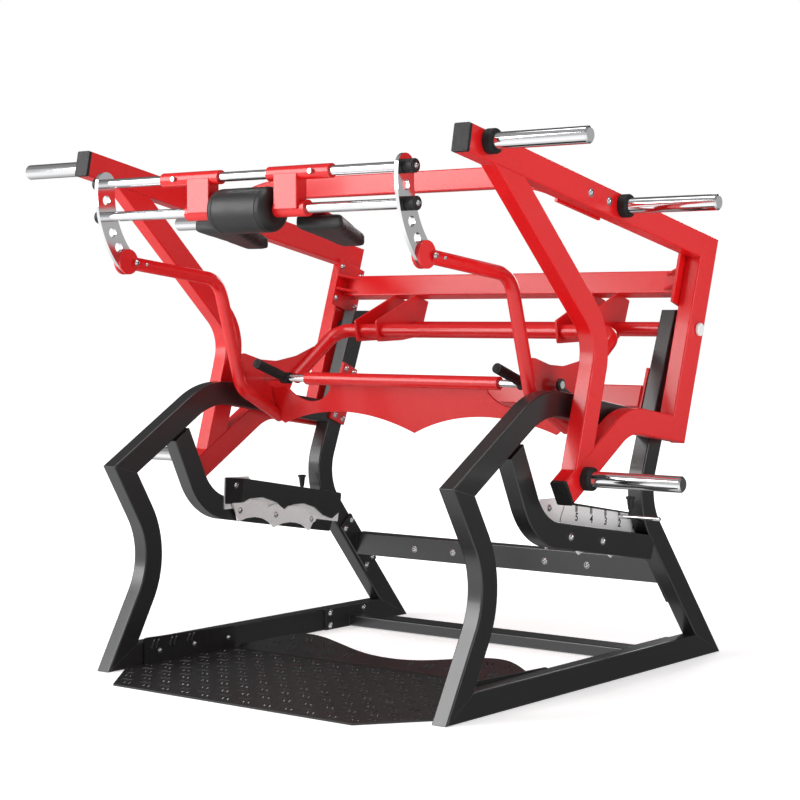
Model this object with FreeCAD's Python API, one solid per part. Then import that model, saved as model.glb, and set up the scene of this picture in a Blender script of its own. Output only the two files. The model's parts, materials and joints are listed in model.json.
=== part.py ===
import FreeCAD, Part
import math
import os

# Plate-loaded squat machine: a fixed black base and a red swinging lever.
# Frame: origin on the floor under the middle of the whole machine, +X to the
# right, +Y to the rear, +Z up.  Millimetres.  Every (y, z) pair below is in the
# side plane and is counted from the middle of the bottom rails; export() moves
# the finished pieces by ORIGIN_SHIFT.  The machine is symmetric about X = 0, so
# the right half is drawn and mirrored.

V = FreeCAD.Vector
ORIGIN_SHIFT = 74.0

# ---------------------------------------------------------------- base frame
FRAME_IN = 670.0
FRAME_OUT = 726.0
FRAME_D = 80.0
TUBE_EDGE = 5.0
FOOT_FRONT = (-811.0, 0.0)
KNEE = (-597.0, 379.0)
NOSE_TOP = (-778.0, 683.0)
NOSE_IN = (-670.4, 654.7)
RAIL_APEX = (-312.0, 966.0)
RAIL_END = (347.5, 860.7)
UPRIGHT_SLOPE = 0.39
UPRIGHT_TOP = (570.0, 1203.0)
WAIST = (324.6, 573.0)
FOOT_REAR = (809.0, 0.0)
BRACE_TOP = (-489.0, 753.0)
BRACE_APEX = (-358.6, 482.0)
BRACE_END = (330.0, 372.2)
BRACE_D = 81.0

# ------------------------------------------------------------- lever frame
PIVOT = (498.0, 1137.0)
SIDE_IN = 748.0
SIDE_OUT = 804.0
SIDE_D = 84.0
POST_D = 100.0
TOP_FRONT = (-806.0, 1728.0)
TOP_REAR = (638.0, 1442.0)
TOP_SLOPE = -0.198
POST_FOOT = (415.0, 758.0)
POST_TOP_IN = (512.5, 1381.0)
POST_FOOT_IN = (341.8, 855.9)
LOW_FRONT = (-314.0, 674.0)
LOW_APEX = (57.9, 897.1)
LOW_SLOPE = 0.6
STRUT_TOP = (-681.1, 1617.7)
STRUT_APEX = (-133.9, 1107.2)
STRUT_FOOT = (-252.8, 710.7)
CAP_T = 12.0

# ----------------------------------------------------------- weight horns
HORN_D = 50.0
HORN_ROOT_D = 46.0
HORN_LEN = 341.0
HORN_AT = [(-715.0, 1679.0), (14.0, 1528.0), (-195.0, 680.0)]
COLLAR_D = 74.0
COLLAR_T = 28.0

# -------------------------------------------------------- cross members
CROSS_Y = (-150.0, -94.0)
CROSS_Z = 1625.0
CROSS_H = 70.0
CROSS_FLAT = 470.0
CROSS_R = 516.0
REAR_BEAM = (535.0, 1290.0)
REAR_BEAM_W = 56.0
REAR_BEAM_H = 80.0
POST_TILT = 18.0
FIN_X = [390.0, 488.0]
FIN_T = 8.0
FIXED_CROSS = (385.0, 905.0)
FIXED_TILT = 21.3
MID_CROSS = (504.0, 314.0)
LEG_TILT = -40.0

# ----------------------------------------------------- tubes and handles
PIVOT_TUBE_D = 50.0
PIVOT_PIN_D = 24.0
RUN_FIT = 0.05
U_TUBE_D = 50.0
U_AT = (302.0, 1129.0)
U_END = (60.0, 958.4)
U_X = 606.0
ARM_X = 614.0
ARM_D = 44.0
ARM_PATH = [(-751.0, 1355.7), (-334.0, 1307.0), (-219.0, 927.0), (-11.0, 822.0)]
ARM_R = [90.0, 70.0]
HANDLE = (-99.0, 964.0)
HANDLE_TUBE_D = 44.0
HANDLE_TUBE_X = 411.0
SHAFT_D = 25.0
SHAFT_X = 654.0
GRIP_X = 508.0
GRIP_TIP = (-260.0, 1020.0)
GRIP_D = 34.0
HOOK_R = 68.5
HOOK_IN = 641.0
HOOK_OUT = 651.0
STUD = (-112.0, 887.3)
STUD_D = 16.0

# --------------------------------------------------------- pad assembly
ARC_C = (-556.0, 1580.0)
ARC_R = 309.0
ARC_W = 76.0
ARC_T = 12.0
UPPER_DEG = -5.4
LOWER_DEG = 14.4
HUB_DEG = 45.5
FREE_DEG = [4.5, 24.3, 34.2]
UPPER_D = 30.0
LOWER_D = 32.0
KNOB_D = 42.0
ROLLER_D = 140.0
ROLLER_X = 120.0


# ================================================================ helpers
def unit(p, q):
    d = math.hypot(q[0] - p[0], q[1] - p[1])
    return ((q[0] - p[0]) / d, (q[1] - p[1]) / d)


def meet(p, u, q, w):
    det = u[0] * (-w[1]) + w[0] * u[1]
    t = ((q[0] - p[0]) * (-w[1]) + w[0] * (q[1] - p[1])) / det
    return (p[0] + t * u[0], p[1] + t * u[1])


def outline(points, radii, plane):
    # closed wire through the points, each corner rounded by its radius
    n = len(points)
    ends = []
    for i in range(n):
        p = points[i - 1]
        c = points[i]
        q = points[(i + 1) % n]
        r = radii[i]
        if r == 0:
            ends.append((c, c, c))
            continue
        a = unit(c, p)
        b = unit(c, q)
        cos_full = a[0] * b[0] + a[1] * b[1]
        half = 0.5 * math.acos(max(-1.0, min(1.0, cos_full)))
        run = r / math.tan(half)
        s = (a[0] + b[0], a[1] + b[1])
        k = math.hypot(s[0], s[1])
        far = r / math.sin(half) - r
        first = (c[0] + a[0] * run, c[1] + a[1] * run)
        last = (c[0] + b[0] * run, c[1] + b[1] * run)
        mid = (c[0] + s[0] / k * far, c[1] + s[1] / k * far)
        ends.append((first, mid, last))
    edges = []
    for i in range(n):
        first, mid, last = ends[i]
        nxt = ends[(i + 1) % n][0]
        if first != last:
            edges.append(Part.Arc(plane(first), plane(mid), plane(last)).toShape())
        gap = math.hypot(nxt[0] - last[0], nxt[1] - last[1])
        if gap > 1e-4:
            edges.append(Part.LineSegment(plane(last), plane(nxt)).toShape())
    return Part.Wire(edges)


def side_plane(p):
    return V(0, p[0], p[1])


def plate(points, x0, x1, radii=None):
    # flat plate lying in the side plane between x0 and x1
    if radii is None:
        radii = [0] * len(points)
    face = Part.Face(outline(points, radii, side_plane))
    face.translate(V(x0, 0, 0))
    return face.extrude(V(x1 - x0, 0, 0))


def offset_side(points, depth, start_cut, end_cut):
    # the opposite side of a tube whose face line is given; depth > 0 is left
    lines = []
    for a, b in zip(points[:-1], points[1:]):
        u = unit(a, b)
        m = (-u[1] * depth, u[0] * depth)
        lines.append(((a[0] + m[0], a[1] + m[1]), u))
    u = lines[0][1]
    cut = start_cut or (-u[1], u[0])
    result = [meet(points[0], cut, lines[0][0], u)]
    for k in range(len(lines) - 1):
        result.append(meet(lines[k][0], lines[k][1], lines[k + 1][0], lines[k + 1][1]))
    u = lines[-1][1]
    cut = end_cut or (-u[1], u[0])
    result.append(meet(points[-1], cut, lines[-1][0], u))
    return result


def soften(shape, x0, x1, ends, radius):
    # rounds the long edges of a box section and leaves its cut ends sharp
    keep = []
    for edge in shape.Edges:
        xs = [v.X for v in edge.Vertexes]
        flat = all(abs(x - x0) < 1e-3 for x in xs) or all(abs(x - x1) < 1e-3 for x in xs)
        mid = edge.CenterOfMass
        at_end = any(math.hypot(mid.y - e[0], mid.z - e[1]) < 2.0 for e in ends)
        if flat and not at_end:
            keep.append(edge)
    return shape.makeFillet(radius, keep)


def tube(points, depth, bends, x0, x1, start_cut=None, end_cut=None):
    # box-section tube: face line, depth to one side, face-line bend radii
    other = offset_side(points, depth, start_cut, end_cut)
    loop = list(points) + other[::-1]
    inner = []
    for k in range(1, len(points) - 1):
        a = unit(points[k - 1], points[k])
        b = unit(points[k], points[k + 1])
        left_turn = a[0] * b[1] - a[1] * b[0] > 0
        towards = left_turn == (depth > 0)
        inner.append(bends[k - 1] + (-abs(depth) if towards else abs(depth)))
    radii = [0] + list(bends) + [0, 0] + inner[::-1] + [0]
    body = plate(loop, x0, x1, radii)
    ends = []
    for a, b in [(points[0], other[0]), (points[-1], other[-1])]:
        ends.append(((a[0] + b[0]) / 2, (a[1] + b[1]) / 2))
    return soften(body, x0, x1, ends, TUBE_EDGE)


def rod_x(centre, dia, x0, x1, chamfer=0.0):
    lo = min(x0, x1)
    body = Part.makeCylinder(dia / 2, abs(x1 - x0), V(lo, centre[0], centre[1]), V(1, 0, 0))
    if chamfer:
        far = max(x0, x1, key=abs)
        rim = [e for e in body.Edges if len(e.Vertexes) == 1]
        rim = [e for e in rim if abs(e.Vertexes[0].X - far) < 1e-3]
        body = body.makeChamfer(chamfer, rim)
    return body


def round_path(points, radii):
    edges = []
    last = points[0]
    for k in range(1, len(points) - 1):
        c = points[k]
        a = points[k - 1].sub(c)
        a.normalize()
        b = points[k + 1].sub(c)
        b.normalize()
        half = 0.5 * a.getAngle(b)
        run = radii[k - 1] / math.tan(half)
        far = radii[k - 1] / math.sin(half) - radii[k - 1]
        s = a.add(b)
        s.normalize()
        first = c.add(a.multiply(run))
        end = c.add(b.multiply(run))
        mid = c.add(s.multiply(far))
        edges.append(Part.LineSegment(last, first).toShape())
        edges.append(Part.Arc(first, mid, end).toShape())
        last = end
    edges.append(Part.LineSegment(last, points[-1]).toShape())
    return Part.Wire(edges)


def bent_rod(points, radii, dia):
    path = round_path(points, radii)
    way = points[1].sub(points[0])
    ring = Part.Wire(Part.makeCircle(dia / 2, points[0], way))
    return path.makePipeShell([ring], True, True)


def bar_x(centre, width, height, tilt, x0, x1, edge=0.0):
    # rectangular bar along X; tilt leans its top to the rear, in degrees
    body = Part.makeBox(x1 - x0, width, height, V(x0, -width / 2, -height / 2))
    if edge:
        along = [e for e in body.Edges if abs(e.Vertexes[0].X - e.Vertexes[1].X) > 1.0]
        body = body.makeFillet(edge, along)
    body.rotate(V(0, 0, 0), V(1, 0, 0), -tilt)
    body.translate(V(0, centre[0], centre[1]))
    return body


def turned(centre, tilt, across, up):
    # a point given across/up a member that leans its top to the rear
    t = math.radians(tilt)
    y = centre[0] + across * math.cos(t) + up * math.sin(t)
    z = centre[1] - across * math.sin(t) + up * math.cos(t)
    return (y, z)


def bolt(point, way, size=10.0, washer=12.0):
    # socket button head on its washer, standing on a surface
    rise = size * 0.62
    profile = Part.Wire([
        Part.LineSegment(V(0, 0, 0), V(washer, 0, 0)).toShape(),
        Part.LineSegment(V(washer, 0, 0), V(washer, 0, 1.6)).toShape(),
        Part.LineSegment(V(washer, 0, 1.6), V(washer - 0.6, 0, 2.2)).toShape(),
        Part.LineSegment(V(washer - 0.6, 0, 2.2), V(size, 0, 2.2)).toShape(),
        Part.Arc(V(size, 0, 2.2), V(size * 0.8, 0, 2.2 + rise * 0.6),
                 V(size * 0.45, 0, 2.2 + rise)).toShape(),
        Part.LineSegment(V(size * 0.45, 0, 2.2 + rise), V(0, 0, 2.2 + rise)).toShape(),
        Part.LineSegment(V(0, 0, 2.2 + rise), V(0, 0, 0)).toShape()])
    head = Part.Face(profile).revolve(V(0, 0, 0), V(0, 0, 1), 360)
    across = size * 0.36
    corners = [V(across * math.cos(math.radians(60 * k)), across * math.sin(math.radians(60 * k)),
                 2.4) for k in range(7)]
    socket = Part.Face(Part.makePolygon(corners)).extrude(V(0, 0, size))
    head = head.cut(socket)
    head.Placement = FreeCAD.Placement(point, FreeCAD.Rotation(V(0, 0, 1), way))
    return head


def mirror(shape):
    return shape.mirror(V(0, 0, 0), V(1, 0, 0))


def both(shapes):
    return list(shapes) + [mirror(s) for s in shapes]


def bore(shape, centre, dia, x0, x1):
    return shape.cut(rod_x(centre, dia, x0, x1))


def join(shapes):
    body = shapes[0]
    for other in shapes[1:]:
        body = body.fuse(other)
    return body.removeSplitter()


def export(name, shapes):
    if not isinstance(shapes, list):
        shapes = [shapes]
    solids = []
    for shape in shapes:
        solids += shape.Solids
    bad = [s for s in solids if not s.isValid() or s.Volume <= 0]
    out = solids[0].copy() if len(solids) == 1 else Part.makeCompound(solids)
    out.translate(V(0, ORIGIN_SHIFT, 0))
    out.exportStep("parts/" + name + ".step")
    box = out.BoundBox
    print("%-22s solids %3d bad %d  vol %9.0f  x %6.0f %6.0f y %6.0f %6.0f z %6.0f %6.0f" % (
        name, len(solids), len(bad), sum(s.Volume for s in solids) / 1000.0,
        box.XMin, box.XMax, box.YMin, box.YMax, box.ZMin, box.ZMax))


def pair(name, shape):
    export("right_" + name, shape)
    export("left_" + name, mirror(shape))


os.makedirs("parts", exist_ok=True)

# ============================================================ base side frame
leg_low = unit(FOOT_FRONT, KNEE)
leg_rear = (FOOT_FRONT[0] + leg_low[1] * FRAME_D, -leg_low[0] * FRAME_D)
front_in = meet(leg_rear, leg_low, (0, FRAME_D), (1, 0))
foot_cut = (front_in[0] - FOOT_FRONT[0], front_in[1] - FOOT_FRONT[1])
nose_cut = (NOSE_IN[0] - NOSE_TOP[0], NOSE_IN[1] - NOSE_TOP[1])
front_leg = tube([FOOT_FRONT, KNEE, NOSE_TOP], -FRAME_D, [240.0],
                 FRAME_IN, FRAME_OUT, foot_cut, nose_cut)

upright_way = (UPRIGHT_SLOPE, 1.0)
top_rail = tube([NOSE_TOP, RAIL_APEX, RAIL_END], -FRAME_D, [330.0],
                FRAME_IN, FRAME_OUT, nose_cut, upright_way)

leg_way = unit(WAIST, FOOT_REAR)
leg_front = (FOOT_REAR[0] + leg_way[1] * FRAME_D, -leg_way[0] * FRAME_D)
rear_in = meet(leg_front, leg_way, (0, FRAME_D), (1, 0))
rear_cut = (rear_in[0] - FOOT_REAR[0], rear_in[1] - FOOT_REAR[1])
upright = tube([UPRIGHT_TOP, WAIST, FOOT_REAR], -FRAME_D, [166.0],
               FRAME_IN, FRAME_OUT, (1, 0), rear_cut)

bottom_rail = tube([FOOT_FRONT, FOOT_REAR], FRAME_D, [],
                   FRAME_IN, FRAME_OUT, foot_cut, rear_cut)

rail_way = unit(NOSE_TOP, RAIL_APEX)
brace = tube([BRACE_TOP, BRACE_APEX, BRACE_END], BRACE_D, [240.0],
             FRAME_IN, FRAME_OUT, rail_way, upright_way)
brace = brace.cut(upright).cut(top_rail)
brace = max(brace.Solids, key=lambda s: s.Volume)

pivot_bore = rod_x(PIVOT, PIVOT_PIN_D, FRAME_IN - 5, FRAME_OUT + 5)
upright = upright.cut(pivot_bore)

pair("front_leg", front_leg)
pair("top_rail", top_rail)
pair("rear_upright", upright)
pair("bottom_rail", bottom_rail)
pair("inner_brace", brace)

# ---------------------------------------------- plates inside the braces
brace_run = -0.1595


def run_z(y, rise):
    # height of a line parallel to the brace's level run, rise above its middle
    return 498.5 + brace_run * (y + 208.0) + rise


NOTCH_Y = [-40.0, 48.0, 134.0, 220.0, 306.0]
PIN_NOTCH = 3
PIN_D = 14.0
SEAT_RISE = 91.0
notch_plate = plate([(-140, run_z(-140, 0)), (-131, run_z(-131, 58)), (-105, run_z(-105, 105)),
                     (330, run_z(330, 105)), (384, run_z(384, 76)), (377, run_z(377, 40)),
                     (370, run_z(370, 0))],
                    664, 670)
front_plate = plate([(-250, 500), (-250, 613), (-126, 609), (-112, 586), (-136, 545), (-145, 500)], 664, 670)
for y in NOTCH_Y:
    seat = run_z(y, SEAT_RISE)
    slot = rod_x((y, seat), PIN_D + 1.0, 660, 675)
    slit = Part.makeBox(15, PIN_D + 1.0, 60, V(660, y - PIN_D / 2 - 0.5, seat))
    notch_plate = notch_plate.cut(slot).cut(slit)
cover_rim = [(-157, 114, 6), (385, 110, 8), (378, 40, 12), (330, 8, 12), (281, 17, 6), (233, 42, 60),
             (172, 52, 80), (103, 42, 60), (61, 20, 3), (23, 43, 50), (-56, 55, 80), (-125, 45, 50),
             (-172, 25, 6)]
cover_plate = plate([(y, run_z(y, rise)) for y, rise, r in cover_rim], 658, 664, [r for y, rise, r in cover_rim])
guard_rim = [(-222, 20, 3), (-168, 26, 20), (-132, 42, 20), (-63, 40, 30), (-30, 20, 4), (-5, 32, 8),
             (16, 37, 8), (54, 19, 4), (80, 36, 15), (148, 38, 30), (174, 26, 20), (195, 12, 10),
             (241, 15, 3), (226, -10, 5), (213, -16, 4), (191, -48, 2), (156, -29, 40), (122, -24, 50),
             (83, -24, 50), (41, -32, 30), (-5, -50, 2), (-30, -32, 30), (-63, -22, 50), (-108, -20, 60),
             (-152, -28, 40), (-195, -44, 2), (-204, -16, 10)]
guard_plate = plate([(y, run_z(y, rise)) for y, rise, r in guard_rim], 652, 658, [r for y, rise, r in guard_rim])
export("notch_plates", both([notch_plate, front_plate]))
export("cover_plates", both([cover_plate]))
export("guard_plates", both([guard_plate]))
bumper = plate([(-250, 520), (-250, 613), (-158.5, 604), (-173.5, 517)], 658, 664)
export("bumpers", both([bumper]))

# -------------------------------------------------------- cross members
mid_x = 660.0
mid_cross = bar_x(MID_CROSS, 50, 85, 0, -mid_x, mid_x, TUBE_EDGE)
mid_plate = bar_x((495, 315), 74, 240, LEG_TILT, mid_x, FRAME_IN, 0)
export("mid_cross_member", join([mid_cross, mid_plate, mirror(mid_plate)]))

floor_cross = bar_x((485, 22), 100, 40, 0, -mid_x, mid_x, TUBE_EDGE)
floor_plate = Part.makeBox(10, 250, 78, V(mid_x, 296, 1))
export("floor_cross_member", join([floor_cross, floor_plate, mirror(floor_plate)]))

fixed_cross = bar_x(FIXED_CROSS, 56, 78, FIXED_TILT, -mid_x, mid_x, TUBE_EDGE)
fixed_plate = bar_x((404, 889), 86, 222, FIXED_TILT + 0.5, mid_x, FRAME_IN, 0)
export("red_cross_member", join([fixed_cross, fixed_plate, mirror(fixed_plate)]))

# ------------------------------------------------ footplate and kick plates
FOLD_Y = -200.0
PLATE_T = 6.0
floor_outline = [(-670, FOLD_Y), (670, FOLD_Y), (670, -730), (494, -957), (-494, -957), (-670, -730)]
edges = Part.makePolygon([V(x, y, 0) for x, y in floor_outline + [floor_outline[0]]])
floor_sheet = Part.Face(edges).extrude(V(0, 0, PLATE_T))
toe_tilt = math.radians(27.0)
wave = [(-650, 26), (-560, 70), (-450, 122), (-300, 112), (-120, 66), (0, 56),
        (120, 66), (300, 112), (450, 122), (560, 70), (650, 26)]
curve = Part.BSplineCurve()
curve.interpolate([V(x, s, 0) for x, s in wave])
rim = [curve.toShape(),
       Part.LineSegment(V(650, 26, 0), V(650, 0, 0)).toShape(),
       Part.LineSegment(V(650, 0, 0), V(-650, 0, 0)).toShape(),
       Part.LineSegment(V(-650, 0, 0), V(-650, 26, 0)).toShape()]
toe_board = Part.Face(Part.Wire(rim)).extrude(V(0, 0, PLATE_T))
toe_board.rotate(V(0, 0, 0), V(1, 0, 0), math.degrees(toe_tilt))
toe_board.translate(V(0, FOLD_Y - 0.5, 0))
export("footplate", join([floor_sheet, toe_board]))

kick_plate = plate([(-650, PLATE_T), (-201, PLATE_T), (-201, 82), (-650, 95)], 664, FRAME_IN, [4, 4, 12, 12])
export("kick_plates", both([kick_plate]))

# ------------------------------------------------------- fixed pins and studs
pivot_pin = rod_x(PIVOT, PIVOT_PIN_D, 600, SIDE_OUT + 3)
pivot_head = rod_x(PIVOT, 44.0, SIDE_OUT + 3, SIDE_OUT + 13, 3.0)
export("pivot_pins", both([join([pivot_pin, pivot_head])]))
stud = rod_x(STUD, STUD_D, HOOK_IN - 1, FRAME_IN)
export("latch_studs", both([stud]))

base_bolts = []
inward = V(-1, 0, 0)
outward = V(1, 0, 0)
for y in [-157.0, 30.0]:
    base_bolts.append(bolt(V(FRAME_OUT, y, run_z(y, 1)), outward, 11.0, 14.0))
for y in [-185.0, 5.0, 202.0]:
    base_bolts.append(bolt(V(652, y, run_z(y, -3)), inward, 9.0, 11.0))
base_bolts.append(bolt(V(658, -199, 582), inward, 9.0, 11.0))
base_bolts.append(bolt(V(670, -199, 582), outward, 9.0, 11.0))
for y in [-576.0, -407.0, -236.0]:
    base_bolts.append(bolt(V(664, y, 43), inward, 8.0, 10.0))
for across in (-23.0, 23.0):
    for up in (-98.0, 98.0):
        y, z = turned((495, 315), LEG_TILT, across, up)
        base_bolts.append(bolt(V(mid_x, y, z), inward))
    for up in (-92.0, 92.0):
        y, z = turned((404, 889), FIXED_TILT, across + 2, up)
        base_bolts.append(bolt(V(mid_x, y, z), inward))
for y, z in ((322.0, 16.0), (322.0, 64.0), (520.0, 60.0)):
    base_bolts.append(bolt(V(mid_x, y, z), inward))
for x in (203.0, 380.0):
    base_bolts.append(bolt(V(x, MID_CROSS[0] - 25.0, MID_CROSS[1] - 3.0), V(0, -1, 0)))
export("frame_bolts", both(base_bolts))

# ------------------------------------------------------------- catch pins
pin_y = NOTCH_Y[PIN_NOTCH]
pin_z = run_z(pin_y, SEAT_RISE) + 0.5
catch = rod_x((pin_y, pin_z), PIN_D, 664.5, 825, 2.0)
CATCH_HANDLE_X = 712.0
export("right_catch_pin", catch)
export("left_catch_pin", mirror(catch))
stem = Part.makeCylinder(6, 58, V(CATCH_HANDLE_X, pin_y, pin_z + PIN_D / 2 - 1.0), V(0, 0, 1))
grip = Part.makeCone(8, 12, 34, V(CATCH_HANDLE_X, pin_y, pin_z + 26), V(0, 0, 1))
top = Part.makeCylinder(15, 8, V(CATCH_HANDLE_X, pin_y, pin_z + 60), V(0, 0, 1))
handle = join([stem, grip, top]).cut(catch)
export("right_catch_handle", handle)
export("left_catch_handle", mirror(handle))

# ============================================================ lever side frame
back_cut = (POST_TOP_IN[0] - TOP_REAR[0], POST_TOP_IN[1] - TOP_REAR[1])
low_cut = (POST_FOOT[0] - POST_FOOT_IN[0], POST_FOOT[1] - POST_FOOT_IN[1])
beam_way = unit(TOP_FRONT, TOP_REAR)
top_start = (TOP_FRONT[0] + beam_way[0] * CAP_T, TOP_FRONT[1] + beam_way[1] * CAP_T)
top_beam = tube([top_start, TOP_REAR], -SIDE_D, [], SIDE_IN, SIDE_OUT, None, back_cut)
rear_post = tube([TOP_REAR, POST_FOOT], -POST_D, [], SIDE_IN, SIDE_OUT, back_cut, low_cut)
low_way = unit(LOW_FRONT, LOW_APEX)
low_start = (LOW_FRONT[0] + low_way[0] * CAP_T, LOW_FRONT[1] + low_way[1] * CAP_T)
lower_beam = tube([low_start, LOW_APEX, POST_FOOT_IN], -SIDE_D, [250.0],
                  SIDE_IN, SIDE_OUT, None, low_cut)
strut = tube([STRUT_TOP, STRUT_APEX, STRUT_FOOT], SIDE_D, [125.0], SIDE_IN, SIDE_OUT,
             (1, TOP_SLOPE), (1, LOW_SLOPE))
strut = max(strut.cut(top_beam).cut(lower_beam).Solids, key=lambda s: s.Volume)
rear_post = bore(rear_post, PIVOT, PIVOT_PIN_D + 2 * RUN_FIT, SIDE_IN - 5, SIDE_OUT + 5)
pair("top_beam", top_beam)
pair("rear_post", rear_post)
pair("lower_beam", lower_beam)
pair("front_strut", strut)

cap_top = tube([TOP_FRONT, top_start], -SIDE_D, [], SIDE_IN, SIDE_OUT)
cap_low = tube([LOW_FRONT, low_start], -SIDE_D, [], SIDE_IN, SIDE_OUT)
export("beam_end_caps", both([cap_top, cap_low]))

# ----------------------------------------------------------- weight horns
horns = []
collars = []
for y, z in HORN_AT:
    root = rod_x((y, z), HORN_ROOT_D, SIDE_OUT, SIDE_OUT + COLLAR_T + 1)
    horns.append(join([root, rod_x((y, z), HORN_D, SIDE_OUT + COLLAR_T, SIDE_OUT + HORN_LEN, 5.0)]))
    ring = rod_x((y, z), COLLAR_D, SIDE_OUT, SIDE_OUT + COLLAR_T)
    ring = ring.makeFillet(5.0, [e for e in ring.Edges if len(e.Vertexes) == 1
                                 and e.Vertexes[0].X > SIDE_OUT + 1])
    collars.append(bore(ring, (y, z), HORN_ROOT_D, SIDE_OUT - 5, SIDE_OUT + COLLAR_T + 5))
export("weight_horns", both(horns))
export("horn_collars", both(collars))

# ------------------------------------------------------- front cross beam
FLANGE_IN = SIDE_IN - 10.0
sweep = math.asin((FLANGE_IN - CROSS_FLAT) / CROSS_R)


def arc_point(radius, angle):
    x = CROSS_FLAT + radius * math.sin(angle)
    z = CROSS_Z - CROSS_R + radius * math.cos(angle)
    return V(x, CROSS_Y[0], z)


def side_of_beam(radius):
    return arc_point(radius, 0), arc_point(radius, sweep / 2), arc_point(radius, sweep)


top_a, top_m, top_b = side_of_beam(CROSS_R + CROSS_H / 2)
low_a, low_m, low_b = side_of_beam(CROSS_R - CROSS_H / 2)
middle_top = V(0, CROSS_Y[0], CROSS_Z + CROSS_H / 2)
middle_low = V(0, CROSS_Y[0], CROSS_Z - CROSS_H / 2)
loop = [Part.LineSegment(middle_top, top_a).toShape(),
        Part.Arc(top_a, top_m, top_b).toShape(),
        Part.LineSegment(top_b, low_b).toShape(),
        Part.Arc(low_b, low_m, low_a).toShape(),
        Part.LineSegment(low_a, middle_low).toShape(),
        Part.LineSegment(middle_low, middle_top).toShape()]
half_beam = Part.Face(Part.Wire(loop)).extrude(V(0, CROSS_Y[1] - CROSS_Y[0], 0))
cross = half_beam.fuse(mirror(half_beam)).removeSplitter()
long_edges = []
for e in cross.Edges:
    mid = e.CenterOfMass
    if min(abs(mid.y - CROSS_Y[0]), abs(mid.y - CROSS_Y[1])) < 1e-3 and e.Length > 90:
        long_edges.append(e)
cross = cross.makeFillet(TUBE_EDGE, long_edges)
room = Part.makeBox(2 * FLANGE_IN, 400, 900, V(-FLANGE_IN, -330, 1100))
cross = cross.common(room)
cross_mid = (-145.0, 1728.0 + TOP_SLOPE * (806.0 - 145.0) - 42.8)
cross_tilt = math.degrees(math.atan(-TOP_SLOPE))
cross_flange = bar_x(cross_mid, 250, 96, cross_tilt, FLANGE_IN, SIDE_IN)
export("front_cross_beam", join([cross, cross_flange, mirror(cross_flange)]))

# --------------------------------------------------------- rear cross beam
rear_beam = bar_x(REAR_BEAM, REAR_BEAM_W, REAR_BEAM_H, POST_TILT, -FLANGE_IN, FLANGE_IN, TUBE_EDGE)
rear_flange = bar_x(turned(REAR_BEAM, POST_TILT, -10, 0), 150, 180, POST_TILT, FLANGE_IN, SIDE_IN)


def gusset(across, up):
    # triangular web between the beam's front face and its end flange
    pts = []
    for x, back in [(FLANGE_IN, 0.0), (FLANGE_IN, -56.0), (FLANGE_IN - 70.0, 0.0)]:
        y, z = turned(REAR_BEAM, POST_TILT, -REAR_BEAM_W / 2 + 2 + back, up)
        pts.append(V(x, y, z))
    web = Part.Face(Part.makePolygon(pts + [pts[0]]))
    t = math.radians(POST_TILT)
    return web.extrude(V(0, math.sin(t) * 8, math.cos(t) * 8))


gussets = [gusset(0, -30), gusset(0, 22)]
pieces = [rear_beam, rear_flange, mirror(rear_flange)] + gussets + [mirror(g) for g in gussets]
export("rear_cross_beam", join(pieces))

# ------------------------------------------------- pivot tube, U tube, fins
pivot_tube = rod_x(PIVOT, PIVOT_TUBE_D, -664, 664)
for side in (1, -1):
    pivot_tube = bore(pivot_tube, PIVOT, PIVOT_PIN_D + 2 * RUN_FIT, side * 599.0, side * 670.0)
export("pivot_tube", pivot_tube)
spacer = rod_x(PIVOT, 60.0, FRAME_OUT + 1, SIDE_IN)
spacer = bore(spacer, PIVOT, PIVOT_PIN_D + 2 * RUN_FIT, FRAME_OUT - 5, SIDE_IN + 5)
export("pivot_bearings", both([spacer]))

u_points = [V(-U_X, U_END[0], U_END[1]), V(-U_X, U_AT[0], U_AT[1]),
            V(U_X, U_AT[0], U_AT[1]), V(U_X, U_END[0], U_END[1])]
u_tube = bent_rod(u_points, [65.0, 65.0], U_TUBE_D)
export("u_tube", u_tube)

fin_points = [(549, 1243), (496, 1260.5), (285, 1176), (259, 1166), (262, 1150), (272, 1089),
              (407, 1093), (498, 1104), (534, 1130), (546, 1170), (572, 1236)]
fin_radii = [0, 0, 12, 8, 8, 8, 40, 20, 20, 40, 4]
fins = []
for x in FIN_X:
    fin = plate(fin_points, x - FIN_T / 2, x + FIN_T / 2, fin_radii)
    fin = fin.cut(rear_beam).cut(u_tube).cut(pivot_tube)
    fins.append(max(fin.Solids, key=lambda s: s.Volume))
export("pivot_fins", both(fins))

# -------------------------------------------------------- arms and side plates
arm_points = [V(ARM_X, y, z) for y, z in ARM_PATH]
arm_tube = bent_rod(arm_points, ARM_R, ARM_D)


def arc_at(degrees, radius):
    a = math.radians(degrees)
    return (ARC_C[0] - radius * math.cos(a), ARC_C[1] - radius * math.sin(a))


def arc_edge(start, middle, end):
    return Part.Arc(side_plane(start), side_plane(middle), side_plane(end)).toShape()


W = ARC_W / 2
mid_deg = (UPPER_DEG + HUB_DEG) / 2
top_tip = arc_at(UPPER_DEG, ARC_R)
low_tip = arc_at(HUB_DEG, ARC_R)
up_a = math.radians(UPPER_DEG)
lo_a = math.radians(HUB_DEG)
top_cap = (top_tip[0] - W * math.sin(up_a), top_tip[1] + W * math.cos(up_a))
low_cap = (low_tip[0] + W * math.sin(lo_a), low_tip[1] - W * math.cos(lo_a))
loop = [arc_edge(arc_at(UPPER_DEG, ARC_R + W), arc_at(mid_deg, ARC_R + W), arc_at(HUB_DEG, ARC_R + W)),
        arc_edge(arc_at(HUB_DEG, ARC_R + W), low_cap, arc_at(HUB_DEG, ARC_R - W)),
        arc_edge(arc_at(HUB_DEG, ARC_R - W), arc_at(mid_deg, ARC_R - W), arc_at(UPPER_DEG, ARC_R - W)),
        arc_edge(arc_at(UPPER_DEG, ARC_R - W), top_cap, arc_at(UPPER_DEG, ARC_R + W))]
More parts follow.
